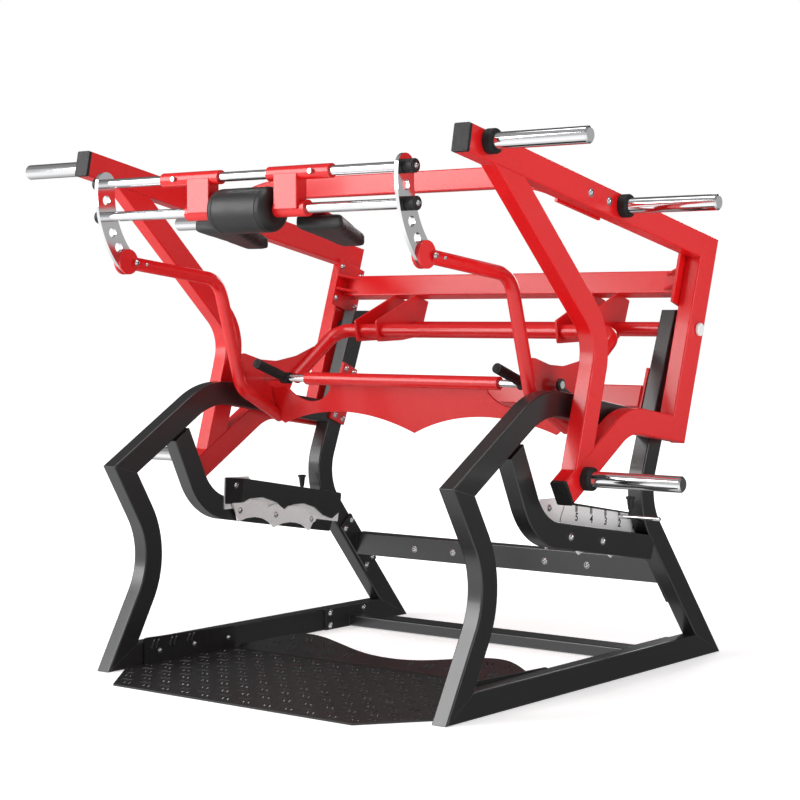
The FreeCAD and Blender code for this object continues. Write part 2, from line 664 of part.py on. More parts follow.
bracket = Part.Face(Part.Wire(loop)).extrude(V(ARC_T, 0, 0))
bracket.translate(V(ARM_X - ARC_T / 2, 0, 0))
upper_at = arc_at(UPPER_DEG, ARC_R)
lower_at = arc_at(LOWER_DEG, ARC_R)
hub_at = arc_at(HUB_DEG, ARC_R)
bracket = bore(bracket, upper_at, UPPER_D, 580, 650)
bracket = bore(bracket, lower_at, LOWER_D, 580, 650)
for degrees in FREE_DEG:
    bracket = bore(bracket, arc_at(degrees, ARC_R), 32.0, 580, 650)
export("curved_brackets", both([bracket]))

discs = [rod_x(hub_at, 83.0, ARM_X + ARC_T / 2, ARM_X + ARC_T / 2 + 8),
         rod_x(hub_at, 83.0, ARM_X - ARC_T / 2 - 8, ARM_X - ARC_T / 2)]
tube_free = arm_tube.cut(bracket)
arm_solid = join([tube_free] + discs)
arm_solid = arm_solid.cut(bracket)
arm_solid = max(arm_solid.Solids, key=lambda s: s.Volume)

web = plate([(-246, 1046), (-204, 1051), (-120, 1028), (-30, 1021), (80, 1038), (180, 1071),
             (214, 1067), (112, 995), (60, 958), (-11, 835), (-20, 822), (-219, 927)],
            ARM_X - 5, ARM_X + 5, [0, 10, 60, 120, 120, 12, 0, 0, 0, 0, 0, 0])
web = web.cut(arm_tube).cut(u_tube)
web = max(web.Solids, key=lambda s: s.Volume)
web = bore(web, HANDLE, SHAFT_D + 2 * RUN_FIT, 580, 650)

# ---------------------------------------------------------------- apron
APRON_TOP = (-75.8, 970.0)
APRON_DOWN = unit((-63.0, 928.0), (-20.0, 790.0))


def apron_point(x, z):
    k = (z - APRON_TOP[1]) / APRON_DOWN[1]
    return V(x, APRON_TOP[0] + APRON_DOWN[0] * k, z)


def apron_arc(a, b, c):
    return Part.Arc(apron_point(*a), apron_point(*b), apron_point(*c)).toShape()


def apron_line(a, b):
    return Part.LineSegment(apron_point(*a), apron_point(*b)).toShape()


loop = [apron_line((-337, 970), (337, 970)),
        apron_line((337, 970), (337, 929)),
        apron_arc((337, 929), (437, 880), (537, 929)),
        apron_line((537, 929), (606, 929)),
        apron_line((606, 929), (606, 815)),
        apron_line((606, 815), (581, 798)),
        apron_arc((581, 798), (290, 848), (0, 783)),
        apron_arc((0, 783), (-290, 848), (-581, 798)),
        apron_line((-581, 798), (-606, 815)),
        apron_line((-606, 815), (-606, 929)),
        apron_line((-606, 929), (-537, 929)),
        apron_arc((-537, 929), (-437, 880), (-337, 929)),
        apron_line((-337, 929), (-337, 970))]
normal = V(0, APRON_DOWN[1], -APRON_DOWN[0])
apron = Part.Face(Part.Wire(loop)).extrude(normal.multiply(-8.0))
handle_tube = rod_x(HANDLE, HANDLE_TUBE_D, -HANDLE_TUBE_X, HANDLE_TUBE_X)
web_left = mirror(web)
arm_left = mirror(arm_tube)
for tool in (arm_tube, arm_left, web, web_left, handle_tube, u_tube):
    apron = apron.cut(tool)
apron = max(apron.Solids, key=lambda s: s.Volume)
export("apron_plate", apron)
handle_tube = bore(handle_tube, HANDLE, SHAFT_D + 2 * RUN_FIT, -420, 420)
export("handle_tube", handle_tube)
arm_solid = arm_solid.cut(u_tube)
arm_solid = max(arm_solid.Solids, key=lambda s: s.Volume)
pair("arm", arm_solid)
export("side_plates", both([web]))

# ------------------------------------------------- handle shaft and hooks
shaft = rod_x(HANDLE, SHAFT_D, -SHAFT_X, SHAFT_X)
export("handle_shaft", shaft)
grip_way = unit(HANDLE, GRIP_TIP)
grip_len = math.hypot(GRIP_TIP[0] - HANDLE[0], GRIP_TIP[1] - HANDLE[1])
way = V(0, grip_way[0], grip_way[1])
handle_grips = []
for x in (GRIP_X, -GRIP_X):
    hub = rod_x(HANDLE, 40.0, x - 17, x + 17)
    hub = bore(hub, HANDLE, SHAFT_D, x - 30, x + 30)
    root = V(x, HANDLE[0] + grip_way[0] * 16.0, HANDLE[1] + grip_way[1] * 16.0)
    stick = Part.makeCylinder(GRIP_D / 2 - 3, grip_len - 22.0, root, way)
    cover = V(x, HANDLE[0] + grip_way[0] * 34.0, HANDLE[1] + grip_way[1] * 34.0)
    sleeve = Part.makeCylinder(GRIP_D / 2, grip_len - 40.0, cover, way)
    knob_end = Part.makeSphere(GRIP_D / 2, V(x, GRIP_TIP[0] - grip_way[0] * 17.0, GRIP_TIP[1] - grip_way[1] * 17.0))
    handle_grips.append(join([hub, stick, sleeve, knob_end]))
export("handle_grips", handle_grips)
LATCH_DEG = math.degrees(math.atan2(HANDLE[1] - PIVOT[1], HANDLE[0] - PIVOT[0])) + 90.0
FREE_TURN = 40.0
start = math.radians(LATCH_DEG - 38.0 + FREE_TURN)
end = math.radians(LATCH_DEG + 8.0 + FREE_TURN)


def hook_point(radius, angle):
    return side_plane((HANDLE[0] + radius * math.cos(angle), HANDLE[1] + radius * math.sin(angle)))


mid = (start + end) / 2
loop = [Part.LineSegment(hook_point(0, start), hook_point(HOOK_R, start)).toShape(),
        Part.Arc(hook_point(HOOK_R, start), hook_point(HOOK_R, mid), hook_point(HOOK_R, end)).toShape(),
        Part.LineSegment(hook_point(HOOK_R, end), hook_point(0, end)).toShape()]
claw = Part.Face(Part.Wire(loop)).extrude(V(HOOK_OUT - HOOK_IN, 0, 0))
claw.translate(V(HOOK_IN, 0, 0))
hook = join([claw, rod_x(HANDLE, 40.0, HOOK_IN, HOOK_OUT)]).cut(shaft)
export("latch_hooks", both([hook]))

# ---------------------------------------------------- pad bars and carriers
bars = [rod_x(upper_at, UPPER_D, -ARM_X - 6, ARM_X + 6), rod_x(lower_at, LOWER_D, -ARM_X - 6, ARM_X + 6)]
export("chrome_bars", bars)
knobs = []
for centre in (upper_at, lower_at):
    knob = rod_x(centre, KNOB_D, ARM_X + 6, ARM_X + 42)
    knobs.append(knob.makeFillet(4.0, [e for e in knob.Edges if len(e.Vertexes) == 1]))
export("bar_end_knobs", both(knobs))

sleeve = rod_x(upper_at, 44.0, 100, 345)
clamp = rod_x(lower_at, 50.0, 123, 245)
block = Part.makeBox(93, 48, 108, V(133, -887, 1500))
block = block.makeFillet(3.0, block.Edges)
PAD_TILT = math.degrees(math.atan(0.293))
tongue = Part.makeBox(76, 190, 8, V(150, 0, 0))
tongue.rotate(V(0, 0, 0), V(1, 0, 0), -PAD_TILT)
tongue.translate(V(0, -866, 1524.55))
carrier = join([sleeve, clamp, block, tongue])
carrier = bore(carrier, upper_at, UPPER_D + 2 * RUN_FIT, 90, 360)
carrier = bore(carrier, lower_at, LOWER_D + 2 * RUN_FIT, 90, 360)
carrier = max(carrier.Solids, key=lambda s: s.Volume)
export("pad_carriers", both([carrier]))
pin_at = V(282, upper_at[0] - 22.5, upper_at[1])
carrier_pin = Part.makeCylinder(9, 9, pin_at, V(0, -1, 0))
carrier_pin = carrier_pin.makeFillet(2.0, [e for e in carrier_pin.Edges if len(e.Vertexes) == 1])
export("carrier_pins", both([carrier_pin]))

roller = rod_x(lower_at, ROLLER_D, -ROLLER_X, ROLLER_X)
roller = roller.makeFillet(18.0, [e for e in roller.Edges if len(e.Vertexes) == 1])
roller = bore(roller, lower_at, LOWER_D + 2 * RUN_FIT, -200, 200)
export("roller_pad", roller)

pad_face = Part.makePolygon([V(114, 0, 0), V(312, 0, 0), V(249, 204, 0), V(148, 204, 0), V(114, 0, 0)])
pad = Part.Face(pad_face).extrude(V(0, 0, 45))
pad = pad.makeFillet(9.0, pad.Edges)
pad.rotate(V(0, 0, 0), V(1, 0, 0), -PAD_TILT)
pad.translate(V(0, -782, 1453))
pair("shoulder_pad", pad)

# ------------------------------------------------------------- lever bolts
lever_bolts = []
for y in (-175.0, -69.0):
    z = 1728.0 + TOP_SLOPE * (y + 806.0) - 42.8
    lever_bolts.append(bolt(V(SIDE_OUT, y, z), outward, 11.0, 14.0))
for y in (-245.0, -45.0):
    z = 1728.0 + TOP_SLOPE * (y + 806.0) - 42.8
    lever_bolts.append(bolt(V(FLANGE_IN, y, z), inward))
for across in (-68.0, 48.0):
    for up in (-62.0, 62.0):
        y, z = turned(REAR_BEAM, POST_TILT, across, up)
        lever_bolts.append(bolt(V(FLANGE_IN, y, z), inward))
for centre in (upper_at, lower_at):
    lever_bolts.append(bolt(V(ARM_X + 42, centre[0], centre[1]), outward, 7.0, 9.0))
for k, size in ((28.0, 9.0), (74.0, 5.0)):
    a = unit(ARM_PATH[0], ARM_PATH[1])
    y = hub_at[0] + a[0] * k
    z = hub_at[1] + a[1] * k
    lever_bolts.append(bolt(V(ARM_X + ARM_D / 2, y, z), outward, size, size + 1))
    lever_bolts.append(bolt(V(ARM_X - ARM_D / 2, y, z), inward, size, size + 1))
export("lever_bolts", both(lever_bolts))
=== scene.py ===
"""Hack squat machine: materials, soft covers, tread, light and camera around the CAD frame.

Every length is in metres, in the frame that the CAD uses: X towards the side whose nodes are
named right, Y towards the lever's pivots at the back, and Z up from the floor.
"""
import json
import math

import bmesh
import bpy
import numpy as np
from mathutils import Matrix, Vector
from mathutils.bvhtree import BVHTree


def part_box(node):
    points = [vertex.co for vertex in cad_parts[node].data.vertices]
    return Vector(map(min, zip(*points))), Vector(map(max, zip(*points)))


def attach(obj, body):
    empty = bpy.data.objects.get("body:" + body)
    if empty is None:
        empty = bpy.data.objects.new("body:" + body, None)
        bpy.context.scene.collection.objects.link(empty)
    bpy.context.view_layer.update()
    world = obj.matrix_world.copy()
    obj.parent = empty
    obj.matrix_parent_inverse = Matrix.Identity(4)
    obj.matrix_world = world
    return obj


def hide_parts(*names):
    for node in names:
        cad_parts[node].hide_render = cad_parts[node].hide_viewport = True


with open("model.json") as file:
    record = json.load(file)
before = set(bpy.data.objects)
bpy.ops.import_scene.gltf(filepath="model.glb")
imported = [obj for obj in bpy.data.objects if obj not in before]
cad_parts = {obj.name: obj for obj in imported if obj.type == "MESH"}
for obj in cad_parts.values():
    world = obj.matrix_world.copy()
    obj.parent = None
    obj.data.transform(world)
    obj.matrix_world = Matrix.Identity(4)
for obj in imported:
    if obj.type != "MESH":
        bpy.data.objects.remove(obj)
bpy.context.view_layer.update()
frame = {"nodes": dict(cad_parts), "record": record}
nodes = frame["nodes"]
scene = bpy.context.scene


# ------------------------------------------------------------------ camera
CAMERA_AT = (4.026, -5.184, 1.179)
CAMERA_TILT = 87.55         # degrees from straight down
CAMERA_TURN = 37.96         # degrees about Z
LENS_MM = 87.39

cam_data = bpy.data.cameras.new("camera")
cam = bpy.data.objects.new("camera", cam_data)
scene.collection.objects.link(cam)
cam.location = CAMERA_AT
cam.rotation_euler = (math.radians(CAMERA_TILT), 0.0, math.radians(CAMERA_TURN))
cam_data.sensor_width = 36.0
cam_data.lens = LENS_MM
cam_data.clip_end = 60.0
scene.camera = cam


# --------------------------------------------------------------- materials
class Mat:
    """A small wrapper that wires procedural nodes into one material."""

    def __init__(self, name):
        self.m = bpy.data.materials.new(name)
        self.m.use_nodes = True
        self.nt = self.m.node_tree
        self.bsdf = self.nt.nodes["Principled BSDF"]
        self.coord = self.nt.nodes.new("ShaderNodeTexCoord").outputs["Object"]

    def link(self, a, b):
        self.nt.links.new(a, b)

    def node(self, kind, **props):
        n = self.nt.nodes.new(kind)
        for k, v in props.items():
            setattr(n, k, v)
        return n

    def noise(self, scale, detail=4.0, rough=0.55, stretch=None):
        n = self.node("ShaderNodeTexNoise")
        n.inputs["Scale"].default_value = scale
        n.inputs["Detail"].default_value = detail
        n.inputs["Roughness"].default_value = rough
        src = self.coord
        if stretch:
            mp = self.node("ShaderNodeMapping")
            mp.inputs["Scale"].default_value = stretch
            self.link(src, mp.inputs["Vector"])
            src = mp.outputs["Vector"]
        self.link(src, n.inputs["Vector"])
        return n.outputs["Fac"]

    def voronoi(self, scale, feature="F1", jitter=1.0):
        n = self.node("ShaderNodeTexVoronoi", feature=feature)
        n.inputs["Scale"].default_value = scale
        n.inputs["Randomness"].default_value = jitter
        self.link(self.coord, n.inputs["Vector"])
        return n.outputs["Distance"]

    def ramp(self, fac, stops):
        n = self.node("ShaderNodeValToRGB")
        el = n.color_ramp.elements
        while len(el) < len(stops):
            el.new(0.5)
        for e, (pos, col) in zip(el, stops):
            e.position = pos
            e.color = tuple(col) + (1.0,) if len(col) == 3 else col
        self.link(fac, n.inputs["Fac"])
        return n.outputs["Color"]

    def remap(self, fac, lo, hi, a=0.3, b=0.7):
        n = self.node("ShaderNodeMapRange")
        n.inputs["From Min"].default_value = a
        n.inputs["From Max"].default_value = b
        n.inputs["To Min"].default_value = lo
        n.inputs["To Max"].default_value = hi
        self.link(fac, n.inputs["Value"])
        return n.outputs["Result"]

    def mix(self, fac, a, b):
        n = self.node("ShaderNodeMix", data_type="RGBA")
        if isinstance(fac, float):
            n.inputs["Factor"].default_value = fac
        else:
            self.link(fac, n.inputs["Factor"])
        for value, socket in ((a, n.inputs["A"]), (b, n.inputs["B"])):
            if isinstance(value, tuple):
                socket.default_value = value + (1.0,)
            else:
                self.link(value, socket)
        return n.outputs["Result"]

    def math(self, op, a, b=0.0):
        n = self.node("ShaderNodeMath", operation=op)
        for value, socket in ((a, n.inputs[0]), (b, n.inputs[1])):
            if isinstance(value, (int, float)):
                socket.default_value = value
            else:
                self.link(value, socket)
        return n.outputs[0]

    def edges(self, lo, hi):
        """0 on flat faces and 1 on outer edges."""
        g = self.node("ShaderNodeNewGeometry").outputs["Pointiness"]
        return self.remap(g, 0.0, 1.0, lo, hi)

    def bump(self, height, strength, distance, normal=None):
        n = self.node("ShaderNodeBump")
        n.inputs["Strength"].default_value = strength
        n.inputs["Distance"].default_value = distance
        self.link(height, n.inputs["Height"])
        if normal is not None:
            self.link(normal, n.inputs["Normal"])
        return n.outputs["Normal"]

    def set(self, **values):
        names = {"color": "Base Color", "rough": "Roughness", "metal": "Metallic",
                 "normal": "Normal", "coat": "Coat Weight", "coat_rough": "Coat Roughness",
                 "spec": "Specular IOR Level", "sheen": "Sheen Weight",
                 "sheen_rough": "Sheen Roughness"}
        for k, v in values.items():
            s = self.bsdf.inputs[names[k]]
            if isinstance(v, (int, float)):
                s.default_value = v
            elif isinstance(v, tuple):
                s.default_value = v + (1.0,)
            else:
                self.link(v, s)
        return self.m


EDGE_RADIUS = 0.0016        # how far in from an edge the coat looks rounded and carries a painted highlight


def powder(name, base, dark, light, rough, coat, peel, spec):
    """Powder coat: slight orange peel, broad tone change, and a painted highlight along the
    edges.
    """
    m = Mat(name)
    broad = m.noise(1.3, 2.0)
    colour = m.mix(m.remap(broad, 0.0, 1.0), dark, base)
    bevel = m.node("ShaderNodeBevel", samples=4)
    bevel.inputs["Radius"].default_value = EDGE_RADIUS
    flat = m.node("ShaderNodeNewGeometry").outputs["Normal"]
    dot = m.node("ShaderNodeVectorMath", operation="DOT_PRODUCT")
    m.link(bevel.outputs["Normal"], dot.inputs[0])
    m.link(flat, dot.inputs[1])
    edge = m.remap(dot.outputs["Value"], 1.0, 0.0, 0.90, 0.995)
    # painted highlight: the edge mask, broken up by noise, mixes the lighter colour into the
    # edges
    edge_highlight = m.math("MULTIPLY", edge, m.remap(m.noise(28.0, 6.0), 0.25, 0.9, 0.40, 0.64))
    colour = m.mix(edge_highlight, colour, light)
    grain = m.noise(520.0, 2.0)
    roughness = m.math("ADD", m.remap(m.noise(5.0, 4.0), rough - 0.012, rough + 0.018),
                       m.remap(grain, -0.015, 0.015))
    peel_h = m.math("ADD", m.math("MULTIPLY", m.noise(240.0, 1.5), 0.7),
                    m.math("MULTIPLY", m.noise(1300.0, 1.0), 0.3))
    return m.set(color=colour, rough=roughness, coat=coat, coat_rough=0.12,
                 normal=m.bump(peel_h, peel, 0.0005, bevel.outputs["Normal"]), spec=spec)


RED = powder("red_powder_coat", base=(0.64, 0.0058, 0.0075), dark=(0.58, 0.0045, 0.006),
             light=(0.90, 0.14, 0.13), rough=0.28, coat=0.30, peel=0.06, spec=0.40)
BLACK = powder("black_powder_coat", base=(0.0088, 0.0088, 0.0094), dark=(0.0070, 0.0070, 0.0076),
               light=(0.16, 0.16, 0.17), rough=0.33, coat=0.25, peel=0.10, spec=0.75)


def tread_material(name, dark, light, rough):
    """Coated checker plate, with fine grit and scuffs."""
    m = Mat(name)
    grit = m.noise(700.0, 3.0, 0.7)
    scuff = m.remap(m.noise(22.0, 8.0, 0.7), 0.0, 1.0, 0.45, 0.75)
    colour = m.mix(scuff, (dark, dark, dark * 1.05), (light, light, light * 1.02))
    return m.set(color=colour, rough=m.remap(grit, rough - 0.08, rough + 0.10), coat=0.15,
                 coat_rough=0.25, normal=m.bump(grit, 0.25, 0.0005), spec=0.6)


def chrome_material():
    """Polished chrome with faint smears and hairlines along X."""
    m = Mat("polished_chrome")
    smear = m.noise(9.0, 5.0, 0.6)
    hair = m.noise(70.0, 4.0, 0.6, (0.6, 30.0, 30.0))
    rough = m.math("ADD", m.remap(smear, 0.055, 0.075), m.remap(hair, 0.0, 0.012, 0.5, 0.8))
    return m.set(color=m.mix(m.remap(smear, 0.0, 1.0), (0.74, 0.745, 0.76), (0.80, 0.80, 0.81)),
                 metal=1.0, rough=rough)


def bright_material():
    """Zinc-plated sheet with a fine fleck."""
    m = Mat("zinc_plated_steel")
    fleck = m.voronoi(420.0)
    cloud = m.noise(60.0, 4.0, 0.6)
    speck = m.remap(fleck, 0.0, 1.0, 0.1, 0.6)
    colour = m.mix(speck, (0.70, 0.70, 0.71), (0.90, 0.90, 0.90))
    rough = m.math("ADD", m.remap(cloud, 0.30, 0.40), m.remap(speck, -0.04, 0.04, 0.0, 1.0))
    return m.set(color=colour, metal=0.30, rough=rough, normal=m.bump(fleck, 0.10, 0.0003))


def bolt_material():
    """Turned bolt heads, brighter on their edges."""
    m = Mat("bolt_steel")
    turn = m.noise(300.0, 4.0, 0.6)
    # the heads' edges take a lighter colour
    bolt_edges = m.edges(0.50, 0.66)
    colour = m.mix(bolt_edges, (0.50, 0.50, 0.52), (0.84, 0.84, 0.85))
    return m.set(color=colour, metal=1.0, rough=m.remap(turn, 0.14, 0.30),
                 normal=m.bump(turn, 0.08, 0.0002))


def rubber_material(name, tone, rough, grain, depth):
    """Matt moulded rubber or plastic with pores and a little dust."""
    m = Mat(name)
    pores = m.voronoi(grain)
    dust = m.remap(m.noise(40.0, 7.0, 0.65), 0.0, 0.6, 0.5, 0.8)
    colour = m.mix(dust, (tone, tone, tone), (tone * 2.2, tone * 2.2, tone * 2.2))
    return m.set(color=colour, rough=m.remap(m.noise(200.0, 3.0), rough - 0.06, rough + 0.08),
                 normal=m.bump(pores, depth, 0.0007), spec=0.4)


def leather_material():
    """Black upholstery with grain cells and shallow creases, with painted shade in the creases.
    """
    m = Mat("grained_upholstery")
    cells = m.voronoi(330.0, "F1", 0.9)
    crease = m.voronoi(120.0, "DISTANCE_TO_EDGE", 0.9)
    soft = m.noise(18.0, 5.0, 0.6)
    colour = m.mix(m.remap(soft, 0.0, 1.0), (0.0055, 0.0055, 0.006), (0.011, 0.011, 0.0115))
    # painted shade: the colour darkens along the crease lines
    colour = m.mix(m.remap(crease, 0.5, 0.0, 0.0, 0.12), colour, (0.003, 0.003, 0.003))
    n1 = m.bump(cells, 0.35, 0.0006)
    n2 = m.bump(m.remap(crease, 0.0, 1.0, 0.0, 0.2), 0.25, 0.0007, n1)
    return m.set(color=colour, rough=m.remap(soft, 0.38, 0.52), normal=n2, sheen=0.04,
                 sheen_rough=0.4)


TREAD = tread_material("black_tread_coat", 0.008, 0.014, 0.36)
# the raised bars get a lighter, glossier copy of the plate's coat
TREAD_TOP = tread_material("lighter_tread_bars", 0.010, 0.026, 0.30)
CHROME = chrome_material()
BRIGHT = bright_material()
BOLT = bolt_material()
RUBBER = rubber_material("moulded_rubber", 0.006, 0.62, 900.0, 0.35)
PLASTIC = rubber_material("grained_black_plastic", 0.006, 0.46, 1500.0, 0.22)
LEATHER = leather_material()

BY_SLOT = {"black_frame": BLACK, "red_frame": RED, "bright_steel": BRIGHT, "bolt_steel": BOLT,
           "tread_plate": TREAD, "chrome": CHROME, "black_rubber": RUBBER,
           "black_plastic": PLASTIC, "black_leather": LEATHER}
slot_of = {s["node"]: s["material_slot"] for s in frame["record"]["subparts"]}
for name, obj in nodes.items():
    for slot in obj.material_slots:
        slot.material = BY_SLOT[slot_of[name]]


# ------------------------------------------------------------ mesh helpers
def add_mesh(name, verts, faces, material, body, smooth=True, angle=40.0):
    """A new piece on a CAD body; edges sharper than angle stay sharp."""
    mesh = bpy.data.meshes.new(name)
    mesh.from_pydata([tuple(v) for v in verts], [], faces)
    mesh.validate()
    bm = bmesh.new()
    bm.from_mesh(mesh)
    bmesh.ops.recalc_face_normals(bm, faces=bm.faces)
    limit = math.radians(angle)
    for e in bm.edges:
        e.smooth = len(e.link_faces) == 2 and e.calc_face_angle(0.0) < limit
    for f in bm.faces:
        f.smooth = smooth
    bm.to_mesh(mesh)
    bm.free()
    mesh.materials.append(material)
    obj = bpy.data.objects.new(name, mesh)
    scene.collection.objects.link(obj)
    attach(obj, body)
    return obj


def lathe_x(profile, centre, segments=64):
    """Closed solid of revolution about an X axis; profile is a list of (x, radius)."""
    verts = []
    faces = []
    for x, r in profile:
        for k in range(segments):
            a = 2 * math.pi * k / segments
            verts.append((x, centre[1] + r * math.cos(a), centre[2] + r * math.sin(a)))
    n = len(profile)
    for i in range(n):
        j = (i + 1) % n
        for k in range(segments):
            q = (k + 1) % segments
            faces.append((i * segments + k, i * segments + q, j * segments + q, j * segments + k))
    return verts, faces


# ---------------------------------------------------- raised tread pattern
TREAD_LEAN = 27.0           # degrees that each bar leans off the rows' own direction
TREAD_PERIOD = 0.086        # between pairs along a row
TREAD_RISE = 0.090          # between rows that lean the same way
PAIR_GAP = 0.021            # between the two bars of a pair
PROBE = 0.03                # a bar is tested from this far above the plate
SINK = 0.0004               # how far a bar's foot goes into the plate


def tree_of(node):
    """A search tree over a CAD node's faces."""
    mesh = nodes[node].data
    return BVHTree.FromPolygons([v.co for v in mesh.vertices],
                                [p.vertices for p in mesh.polygons])


def tread_bar(centre, along, across, normal, length, width, height, verts, faces):
    """One raised bar: a six-sided foot, drawn in towards its top."""
    base = len(verts)
    ring = []
    for level, (l, w) in enumerate([(1.0, 1.0), (0.86, 0.55)]):
        for sl, sw in ((1.0, 0.0), (0.62, 1.0), (-0.62, 1.0),
                       (-1.0, 0.0), (-0.62, -1.0), (0.62, -1.0)):
            p = centre + along * (sl * l * length / 2) + across * (sw * w * width / 2)
            ring.append(p + normal * (height if level else -SINK))
    verts.extend(ring)
    for k in range(6):
        q = (k + 1) % 6
        faces.append((base + k, base + q, base + 6 + q, base + 6 + k))
    faces.append(tuple(base + 6 + k for k in range(6)))
    faces.append(tuple(base + k for k in range(5, -1, -1)))


def lies_on(tree, centre, along, across, n, length, width):
    """True where all four ends of a bar are over the plate's own flat face."""
    for s, t in ((1, 0), (-1, 0), (0, 1), (0, -1)):
        p = centre + along * (s * length * 0.5) + across * (t * width * 0.5) + n * PROBE
        hit, normal, _, dist = tree.ray_cast(p, -n, 0.034)
        if hit is None or abs(dist - PROBE) > 0.0012 or normal.dot(n) < 0.98:
            return False
    return True


def tread(name, tree, origin, u, v, nu, nv, length=0.031, width=0.0085, height=0.0018):
    """Pairs of bars that lean one way and the other in turn, over the plane of u and v."""
    u = Vector(u).normalized()
    v = Vector(v).normalized()
    n = u.cross(v).normalized()
    verts = []
    faces = []
    for i in range(-nu, nu + 1):
        for j in range(-nv, nv + 1):
            for lean, du, dv in ((1, 0.0, 0.0), (-1, TREAD_PERIOD / 2, TREAD_RISE / 2)):
                a = math.radians(90 - lean * TREAD_LEAN)
                along = u * math.cos(a) + v * math.sin(a)
                across = n.cross(along)
                for side in (-0.5, 0.5):
                    c = (Vector(origin) + u * (i * TREAD_PERIOD + du + side * PAIR_GAP)
                         + v * (j * TREAD_RISE + dv))
                    if lies_on(tree, c, along, across, n, length, width):
                        tread_bar(c, along, across, n, length, width, height, verts, faces)
    return add_mesh(name, verts, faces, TREAD_TOP, "base", smooth=False)


FOLD_Y = -0.126             # where the footplate folds up into the toe board
PLATE_TOP = 0.006
TOE_ANGLE = math.radians(27.0)
KICK_FACE = 0.664           # inner face of a kick plate, from the middle
BIG_BAR = (0.040, 0.011)    # length and width of a bar on the toe board and kick plates

floor_tree = tree_of("footplate")
tread("tread_floor", floor_tree, (0.0, FOLD_Y - 0.045, PLATE_TOP), (1, 0, 0), (0, 1, 0), 9, 9)
toe_n = Vector((0.0, -math.sin(TOE_ANGLE), math.cos(TOE_ANGLE)))
toe_v = Vector((0.0, math.cos(TOE_ANGLE), math.sin(TOE_ANGLE)))
toe_o = Vector((0.0, FOLD_Y - 0.0005, 0.0)) + toe_n * PLATE_TOP
tread("tread_toe", floor_tree, toe_o + toe_v * 0.045, (1, 0, 0), tuple(toe_v), 9, 3,
      *BIG_BAR, 0.0036)
kick_tree = tree_of("kick_plates")
klo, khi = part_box("kick_plates")
mid_y = (klo[1] + khi[1]) / 2
mid_z = (klo[2] + khi[2]) / 2
for side_name, sgn in (("right", 1), ("left", -1)):
    tread("tread_kick_" + side_name, kick_tree, (sgn * KICK_FACE, mid_y, mid_z + 0.018),
          (0, -sgn, 0), (0, 0, 1), 4, 2, *BIG_BAR, 0.0040)


# --------------------------------------------------------------- roller pad
ROUNDING = 0.030            # how far in from each end the cover rounds over
SEAM_IN = 0.033             # where the cover's seam lies, from each end
SPAN_POINTS = 24

rlo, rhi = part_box("roller_pad")
rc = Vector((0.0, (rlo[1] + rhi[1]) / 2, (rlo[2] + rhi[2]) / 2))
R = (rhi[2] - rlo[2]) / 2
half = (rhi[0] - rlo[0]) / 2


def roller_end():
    """(distance in from the end, radius) from the bore, over the rounded rim, to the seam."""
    pts = [(0.0, 0.0175), (0.002, 0.021), (0.0005, 0.027), (0.0022, 0.0325), (0.0006, 0.039),
           (0.0, R - ROUNDING)]
    for k in range(1, 11):
        a = math.radians(9 * k)
        pts.append((0.022 - 0.022 * math.cos(a), R - ROUNDING + 0.0285 * math.sin(a)))
    return pts + [(0.030, R - 0.0004), (0.0315, R - 0.0016), (SEAM_IN, R - 0.0003)]


profile = [(d - half, r) for d, r in roller_end()]
for k in range(1, SPAN_POINTS):
    x = -half + SEAM_IN + (2 * half - 2 * SEAM_IN) * k / SPAN_POINTS
    swell = 0.0007 * math.sin(math.pi * k / SPAN_POINTS)
    profile.append((x, R - 0.0009 + swell))
profile += [(half - d, r) for d, r in roller_end()[::-1]]
verts, faces = lathe_x(profile, rc, 96)
roller = add_mesh("roller_cover", verts, faces, LEATHER, "roller")
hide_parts("roller_pad")


# ------------------------------------------------------------ shoulder pads
PAD_SLOPE = -0.293          # fall of a pad's top towards its back
PAD_THICK = 0.043
PAD_FRONT = (0.116, 0.309)  # inner and outer edge at the front, from the middle
PAD_BACK = (0.150, 0.247)
PAD_GRID = (10, 11, 4)      # cells across, along and through a pad
PAD_INSET = 0.004           # the cover starts this much smaller, and swells


def wedge(node, inset):
    """The pad's own eight corners, pulled in a little, as a closed grid box."""
    lo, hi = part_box(node)
    sgn = 1.0 if lo[0] > 0 else -1.0
    front = lo[1] + inset
    back = hi[1] - inset
    inner_f, outer_f = PAD_FRONT[0] + inset, PAD_FRONT[1] - inset
    inner_b, outer_b = PAD_BACK[0] + inset, PAD_BACK[1] - inset
    top = hi[2] - 0.0005
    n = PAD_GRID
    pts = {}
    verts = []
    faces = []

    def at(i, j, k):
        key = (i, j, k)
        if key not in pts:
            s, t, w = i / n[0], j / n[1], k / n[2]
            a = inner_f + (inner_b - inner_f) * t
            b = outer_f + (outer_b - outer_f) * t
            x = a + (b - a) * s
            y = front + (back - front) * t
            drop = PAD_SLOPE * (y - lo[1])
            z = top + drop - inset - (1 - w) * (PAD_THICK - 2 * inset)
            pts[key] = len(verts)
            verts.append(Vector((sgn * x, y, z)))
        return pts[key]

    for i in range(n[0]):
        for j in range(n[1]):
            faces.append((at(i, j, 0), at(i, j + 1, 0), at(i + 1, j + 1, 0), at(i + 1, j, 0)))
            faces.append((at(i, j, n[2]), at(i + 1, j, n[2]),
                          at(i + 1, j + 1, n[2]), at(i, j + 1, n[2])))
    for i in range(n[0]):
        for k in range(n[2]):
            faces.append((at(i, 0, k), at(i + 1, 0, k), at(i + 1, 0, k + 1), at(i, 0, k + 1)))
            faces.append((at(i, n[1], k), at(i, n[1], k + 1),
                          at(i + 1, n[1], k + 1), at(i + 1, n[1], k)))
    for j in range(n[1]):
        for k in range(n[2]):
            faces.append((at(0, j, k), at(0, j, k + 1), at(0, j + 1, k + 1), at(0, j + 1, k)))
            faces.append((at(n[0], j, k), at(n[0], j + 1, k),
                          at(n[0], j + 1, k + 1), at(n[0], j, k + 1)))
    return verts, faces


CLOTH_FRAMES = 20           # long enough for the cover to settle


